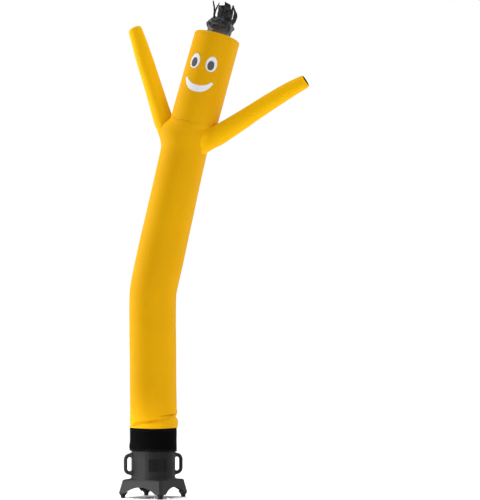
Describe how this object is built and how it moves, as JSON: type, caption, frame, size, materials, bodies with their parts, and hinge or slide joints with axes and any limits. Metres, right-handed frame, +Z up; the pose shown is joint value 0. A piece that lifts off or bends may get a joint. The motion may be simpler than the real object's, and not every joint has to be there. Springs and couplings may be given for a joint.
{
  "type": "inflatable air dancer on its blower",
  "caption": "Tall yellow inflatable tube figure with raised arms, a smiling face and black hair strips, standing on its dark floor blower.",
  "frame": {"origin": "on the floor, below the middle of the whole part's box", "axes": "+Z up, -Y towards the viewer, +X to the viewer's right; the blower's axis stands at x -0.405, y 0.025"},
  "size_m": [1.2625, 0.5697, 3.3165],
  "materials": {
    "yellow_nylon": "satin rip-stop nylon",
    "black_nylon": "dull black nylon",
    "hair_nylon": "thin crumpled nylon",
    "white_patch": "dull white cloth",
    "grey_patch": "dull dark grey cloth",
    "moulded_plastic": "fine pebbled grain",
    "band_plastic": "finely ribbed",
    "foot_rubber": "dull",
    "blank_panel": "smooth and blank",
    "screw_steel": "black coated steel"
  },
  "bodies": {
    "root": {"body_tube": "yellow_nylon", "head_tube": "yellow_nylon", "head_cap": "yellow_nylon", "arm_left": "yellow_nylon", "arm_right": "yellow_nylon", "eye_left": "white_patch", "eye_right": "white_patch", "mouth": "white_patch", "pupil_left": "grey_patch", "pupil_right": "grey_patch", "hair": "hair_nylon", "cuff": "black_nylon", "housing": "moulded_plastic", "collar_band": "band_plastic", "handle_left": "moulded_plastic", "handle_right": "moulded_plastic", "label": "blank_panel", "foot_right": "foot_rubber", "foot_back": "foot_rubber", "foot_left": "foot_rubber", "foot_front": "foot_rubber", "screw_1": "screw_steel", "screw_2": "screw_steel", "screw_3": "screw_steel", "screw_4": "screw_steel", "screw_5": "screw_steel", "screw_6": "screw_steel", "screw_7": "screw_steel", "screw_8": "screw_steel"}
  },
  "joints": []
}
